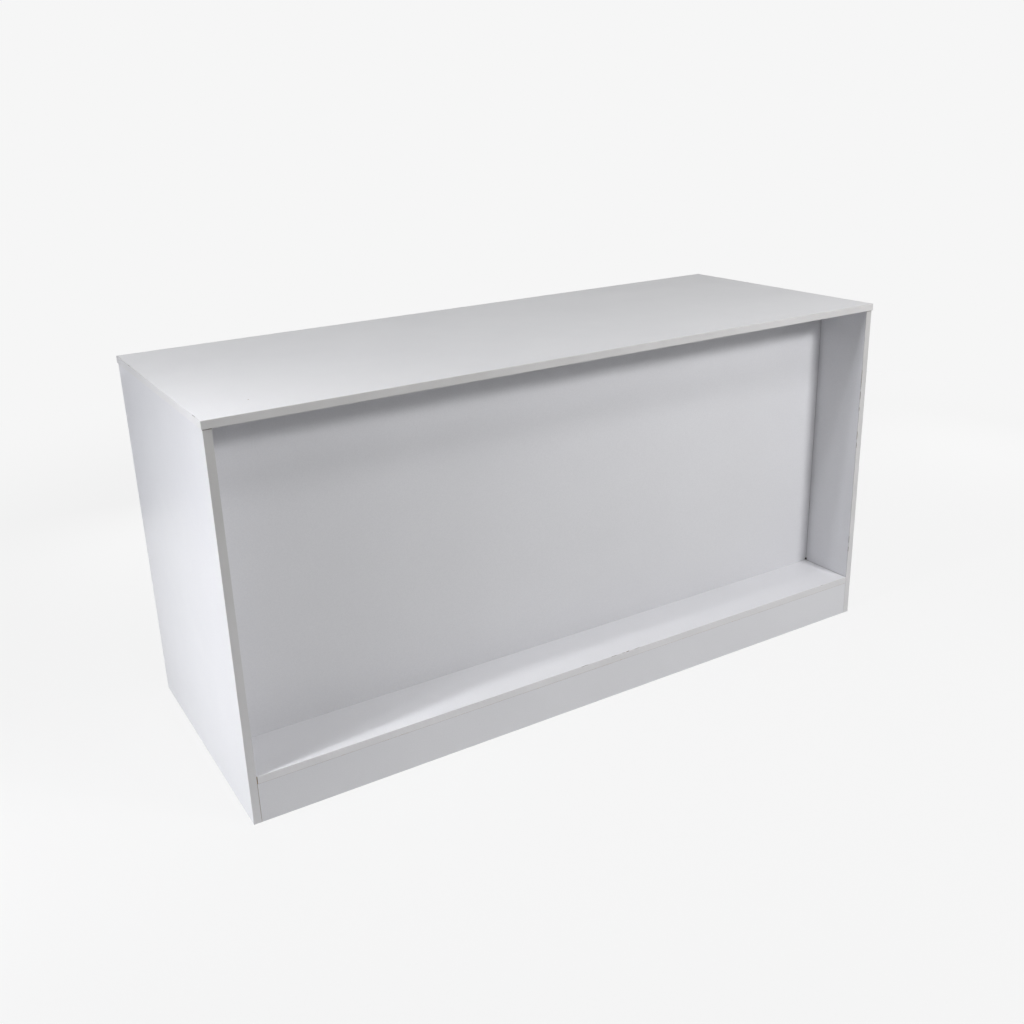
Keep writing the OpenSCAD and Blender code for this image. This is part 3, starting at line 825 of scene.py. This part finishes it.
def cap_seats():
    """Where each cap's rim meets its board, and the way it looks."""
    seats = []
    for low, high in islands("cam_caps"):
        size = high - low
        axis = min(range(3), key=lambda i: size[i])
        middle = (low + high) / 2
        if axis == 1 or abs(middle.x) < 0.1:
            way = 1.0
        else:
            way = -math.copysign(1.0, middle.x)
        seat = middle.copy()
        seat[axis] = (high[axis] if way > 0 else low[axis]) - way * 1.0 * MM
        seats.append((seat, Vector([way if i == axis else 0.0 for i in range(3)])))
    return seats


seats = sorted(cap_seats(), key=lambda pair: tuple(pair[0]))
print(len(seats), "caps; the first sits at", tuple(round(v, 4) for v in seats[0][0]))

# %% Set the caps on their points
def setting_tree():
    tree = Tree("set_caps", [("Points", "Geometry", None), ("Cap", "Object", None),
                             ("Material", "Material", None)])
    cap = tree.add("GeometryNodeObjectInfo", {"Object": tree.given("Cap")}, transform_space="ORIGINAL")
    way = tree.add("GeometryNodeInputNamedAttribute", {"Name": "way"}, data_type="FLOAT_VECTOR")
    turn = tree.add("FunctionNodeAlignRotationToVector", {"Vector": way.outputs[0]}, axis="Z")
    caps = tree.add("GeometryNodeInstanceOnPoints",
                    {"Points": tree.given("Points"), "Rotation": turn.outputs[0],
                     "Instance": cap.outputs["Geometry"]})
    tree.end_with(caps.outputs[0], tree.given("Material"))
    return tree


def seat_points():
    mesh = bpy.data.meshes.new("cap_seats")
    mesh.from_pydata([tuple(seat) for seat, _ in seats], [], [])
    way = mesh.attributes.new("way", "FLOAT_VECTOR", "POINT")
    for item, (_, direction) in zip(way.data, seats):
        item.vector = direction
    return mesh


def make_caps():
    pattern = link("cap_pattern", turned("cap_pattern", CAP_SECTION, CAP_TURNS))
    piece = setting_tree().grow("cam_caps_set", {"Cap": pattern, "Material": cap_plastic},
                                start=seat_points())
    bpy.data.objects.remove(pattern)
    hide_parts("cam_caps")
    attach(piece, "root")
    return piece


caps = make_caps()
cap_box = [Vector([pick(v.co[i] for v in caps.data.vertices) for i in range(3)]) for pick in (min, max)]
print("caps", len(caps.data.polygons), "faces")
print("made ", [tuple(round(v, 4) for v in corner) for corner in cap_box])

# %% [markdown]
# ## Shelf pins
# A pin is a plated stub in the side's bore, a collar and a flat tongue under the shelf. The frame has
# the shape already; a fine bevel on its sharp edges is what the plating of the real one shows.

# %% Finish the shelf pins
def make_pins():
    piece = link("shelf_pins_plated", merged_copy("shelf_pins"))
    flat = bmesh.new()
    flat.from_mesh(piece.data)
    bmesh.ops.dissolve_limit(flat, angle_limit=math.radians(1), verts=flat.verts[:], edges=flat.edges[:])
    flat.to_mesh(piece.data)
    flat.free()
    bevel = piece.modifiers.new("plating", "BEVEL")
    bevel.width = 0.12 * MM
    bevel.segments = 2
    bevel.limit_method = "ANGLE"
    bevel.angle_limit = math.radians(35)
    bpy.context.view_layer.update()
    baked(piece)
    piece.data.materials.clear()
    piece.data.materials.append(pin_steel)
    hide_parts("shelf_pins")
    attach(piece, "root")
    return piece


pins = make_pins()
print("pins", len(pins.data.polygons), "faces")

# %% [markdown]
# ## The studio
# The counter stands on a pale floor in front of a pale background, and both come from the materials
# rather than from more light: where a ray comes straight from the camera or from a glossy reflection,
# the floor glows in the background's own colour, and every other ray finds plain diffuse white. A
# little of the diffuse white is kept near the counter, which lets its soft shadow show, and that
# share fades out with distance, so the floor meets the background without a horizon.
#
# White film at a grazing angle mirrors what stands around it. A blue-grey wall behind the left end is
# mirrored there above a brighter field of floor, which gives the end its slanting shade. The wall is
# lighter near the floor, over a dark skirting, darkest in its middle and pale above, and it returns
# towards the front at its far end. It is five upright sheets that only glossy rays can see.

# %% Floor, background and wall
BACKGROUND = srgb(246, 246, 246)
FLOOR_BOUNCE = srgb(203, 203, 203)
FLOOR_REACH = 14.0
SHADOW_SHARE = 0.08
SHADOW_NEAR, SHADOW_FAR = 1.2, 3.6
WALL_TOP = 1.6
WALL_NEAR, WALL_TURN, WALL_FAR = (-1.07, 1.58), (-1.32, 1.87), (-1.3, 1.25)
WALL_DARK, WALL_LIGHT, WALL_PALE = srgb(50, 52, 60), srgb(124, 126, 132), srgb(226, 226, 229)
WALL_RETURN = srgb(84, 86, 93)
WALL_BANDS = [("skirting", 0.0, 0.05, WALL_DARK), ("low", 0.05, 0.36, WALL_LIGHT),
              ("middle", 0.36, 0.56, WALL_DARK), ("high", 0.56, WALL_TOP, WALL_PALE)]


def sheet(name, corners, material):
    """One flat four-cornered stage piece."""
    mesh = bpy.data.meshes.new(name)
    mesh.from_pydata(corners, [], [(0, 1, 2, 3)])
    mesh.materials.append(material)
    piece = link(name, mesh)
    return piece


def empty_tree(tree):
    tree.nodes.clear()
    return tree.nodes, tree.links


def math_node(nodes, links, operation, first, second):
    node = nodes.new("ShaderNodeMath")
    node.operation = operation
    for socket, value in zip(node.inputs, (first, second)):
        if isinstance(value, bpy.types.NodeSocket):
            links.new(value, socket)
        else:
            socket.default_value = value
    return node.outputs["Value"]


def background_rays(nodes, links):
    """1 for a ray from the camera, or one mirrored or let through by a glossy or clear surface."""
    path = nodes.new("ShaderNodeLightPath")
    seen = math_node(nodes, links, "MAXIMUM", path.outputs["Is Camera Ray"], path.outputs["Is Glossy Ray"])
    return math_node(nodes, links, "MAXIMUM", seen, path.outputs["Is Transmission Ray"])


def floor_finish():
    material = bpy.data.materials.new("studio_floor")
    material.use_nodes = True
    nodes, links = empty_tree(material.node_tree)
    place = nodes.new("ShaderNodeTexCoord").outputs["Object"]
    distance = nodes.new("ShaderNodeVectorMath")
    distance.operation = "LENGTH"
    links.new(place, distance.inputs[0])
    fade = nodes.new("ShaderNodeMapRange")
    fade.interpolation_type = "SMOOTHERSTEP"
    links.new(distance.outputs["Value"], fade.inputs["Value"])
    for key, value in (("From Min", SHADOW_NEAR), ("From Max", SHADOW_FAR), ("To Min", 1 - SHADOW_SHARE),
                       ("To Max", 1.0)):
        fade.inputs[key].default_value = value
    share = math_node(nodes, links, "MULTIPLY", fade.outputs["Result"], background_rays(nodes, links))
    white = nodes.new("ShaderNodeBsdfDiffuse")
    bounce = nodes.new("ShaderNodeMix")
    bounce.data_type = "RGBA"
    links.new(background_rays(nodes, links), bounce.inputs["Factor"])
    bounce.inputs[6].default_value = FLOOR_BOUNCE
    bounce.inputs[7].default_value = BACKGROUND
    links.new(bounce.outputs[2], white.inputs["Color"])
    glow = nodes.new("ShaderNodeEmission")
    glow.name = "glow"
    glow.inputs["Color"].default_value = BACKGROUND
    mix = nodes.new("ShaderNodeMixShader")
    links.new(share, mix.inputs["Fac"])
    links.new(white.outputs[0], mix.inputs[1])
    links.new(glow.outputs[0], mix.inputs[2])
    links.new(mix.outputs[0], nodes.new("ShaderNodeOutputMaterial").inputs["Surface"])
    return material


def wall_finish(name, colour):
    material = bpy.data.materials.new(name)
    material.use_nodes = True
    nodes, links = empty_tree(material.node_tree)
    glow = nodes.new("ShaderNodeEmission")
    glow.inputs["Color"].default_value = colour
    links.new(glow.outputs[0], nodes.new("ShaderNodeOutputMaterial").inputs["Surface"])
    return material


def glossy_only(piece):
    for ray in ("camera", "diffuse", "transmission", "volume_scatter", "shadow"):
        setattr(piece, "visible_" + ray, False)
    return piece


def wall_sheet(name, start, end, low, high, colour):
    """An upright sheet that stands on the line from start to end."""
    corners = [(*start, low), (*end, low), (*end, high), (*start, high)]
    return glossy_only(sheet(name, corners, wall_finish(name, colour)))


far = FLOOR_REACH
sheet("floor", [(-far, -far, 0), (far, -far, 0), (far, far, 0), (-far, far, 0)], floor_finish())
for band, low, high, colour in WALL_BANDS:
    wall_sheet("wall_" + band, WALL_NEAR, WALL_TURN, low, high, colour)
wall_sheet("wall_return", WALL_TURN, WALL_FAR, 0.0, WALL_TOP, WALL_RETURN)


def add_world(strength):
    world = bpy.data.worlds.new("studio")
    bpy.context.scene.world = world
    world.use_nodes = True
    nodes, links = empty_tree(world.node_tree)
    soft = nodes.new("ShaderNodeBackground")
    soft.name = "ambient"
    soft.inputs["Color"].default_value = (1, 1, 1, 1)
    soft.inputs["Strength"].default_value = strength
    seen = nodes.new("ShaderNodeBackground")
    seen.name = "seen"
    seen.inputs["Color"].default_value = BACKGROUND
    mix = nodes.new("ShaderNodeMixShader")
    links.new(background_rays(nodes, links), mix.inputs["Fac"])
    links.new(soft.outputs[0], mix.inputs[1])
    links.new(seen.outputs[0], mix.inputs[2])
    links.new(mix.outputs[0], nodes.new("ShaderNodeOutputWorld").inputs["Surface"])


add_world(0.0)
bpy.context.scene.view_settings.view_transform = "Standard"
MIRRORED_FROM_AREA = 1.0


def add_lamp(name, place, target, size, power, spread=180):
    data = bpy.data.lights.new(name, "AREA")
    data.shape = "RECTANGLE"
    data.size, data.size_y = size
    data.energy = power
    data.spread = math.radians(spread)
    lamp = bpy.data.objects.new(name, data)
    place = Vector(place)
    turn = (Vector(target) - place).to_track_quat("-Z", "Y")
    lamp.matrix_world = Matrix.Translation(place) @ turn.to_matrix().to_4x4()
    bpy.context.scene.collection.objects.link(lamp)
    lamp.visible_camera = False
    lamp.visible_glossy = size[0] * size[1] > MIRRORED_FROM_AREA
    return lamp


# %% [markdown]
# ## The lamps
# Each row is a lamp, where it stands, what it is turned to, its size in metres and its power. The
# front lamps stand 28 to 35 degrees up, which is where the shadow that the worktop drops on the panel
# ends, and they are small enough to keep that edge as crisp as it is in the photograph. The ceiling
# lamps and front_high fill in. The slim left ones stand almost in the plane of the counter's front,
# so that the left side just hides them from the recess: that is what draws the bright wedge along the
# ledge and the steep shadow line on the right side's inner face. The lamps on the left are a touch
# bluer, as daylight is, and the ceiling lamps a touch warmer. Only these broad ceiling lamps are
# mirrored, because the film would show the small strong ones as clipped white spots from other sides.
# The last three rows stand lower than the worktop, behind the counter and beside it, and light the
# open bays and the right end, which the photograph doesn't show. One more lamp, narrowed to a beam,
# brightens the wedge.

# %% Place the lamps
LAMPS = [
    ("front_main", (0.9, -3.35, 2.7), (0.63, -0.3, 0.5), (0.5, 0.6), 15.9),
    ("front_right", (1.27, -2.75, 2.12), (0.9, -0.3, 0.5), (0.42, 0.38), 30.9),
    ("front_right_near", (1.2, -2.25, 1.88), (0.9, -0.3, 0.5), (0.34, 0.28), 8.0),
    ("front_high", (0.7, -1.9, 2.9), (0.6, -0.3, 0.5), (0.8, 0.4), 13.7),
    ("ceiling_left", (-1.4, -1.1, 2.9), (-1.4, -1.1, 0.0), (1.4, 1.4), 5.3),
    ("ceiling_middle", (0.2, -1.1, 2.9), (0.2, -1.1, 0.0), (1.4, 1.4), 4.2),
    ("ceiling_right", (1.8, -1.1, 2.9), (1.8, -1.1, 0.0), (1.4, 1.4), 3.7),
    ("ceiling_back", (-1.4, 0.6, 2.9), (-1.4, 0.6, 0.0), (1.4, 1.4), 3.9),
    ("slim_high", (-2.6, -0.5, 2.5), (0.0, -0.5, 0.5), (0.08, 0.4), 17.1),
    ("slim_middle", (-2.6, -0.6, 2.0), (0.0, -0.6, 0.5), (0.12, 0.4), 2.9),
    ("slim_front", (-2.6, -0.75, 2.5), (0.0, -0.75, 0.5), (0.16, 0.4), 11.9),
    ("low_left", (-1.9, -0.1, 0.2), (0.0, -0.1, 0.15), (0.5, 0.25), 5.2),
    ("left_back", (-1.9, 0.6, 1.6), (0.0, 0.6, 0.6), (0.5, 0.5), 1.8),
    ("staff_right", (1.5, 1.75, 0.7), (0.4, 0.0, 0.35), (0.9, 0.28), 12.0),
    ("staff_left", (-0.4, 1.75, 0.7), (-0.5, 0.0, 0.35), (0.9, 0.28), 11.0),
    ("right_end", (2.9, 0.5, 0.6), (0.9, 0.1, 0.5), (0.8, 0.5), 14.0),
]
DAYLIGHT = (0.98, 0.995, 1.03)
DAYLIGHT_LEFT_OF = -1.5
CEILING_LIGHT = (1.0, 1.0, 0.96)
for row in LAMPS:
    lamp = add_lamp(*row)
    if row[0].startswith("ceiling"):
        lamp.data.color = CEILING_LIGHT
    elif row[1][0] < DAYLIGHT_LEFT_OF:
        lamp.data.color = DAYLIGHT
add_lamp("wedge_beam", (-2.2, -0.5, 2.4), (-0.5, -0.38, 0.1), (0.08, 0.2), 0.7, spread=35)
print("lamps", len(LAMPS) + 1)
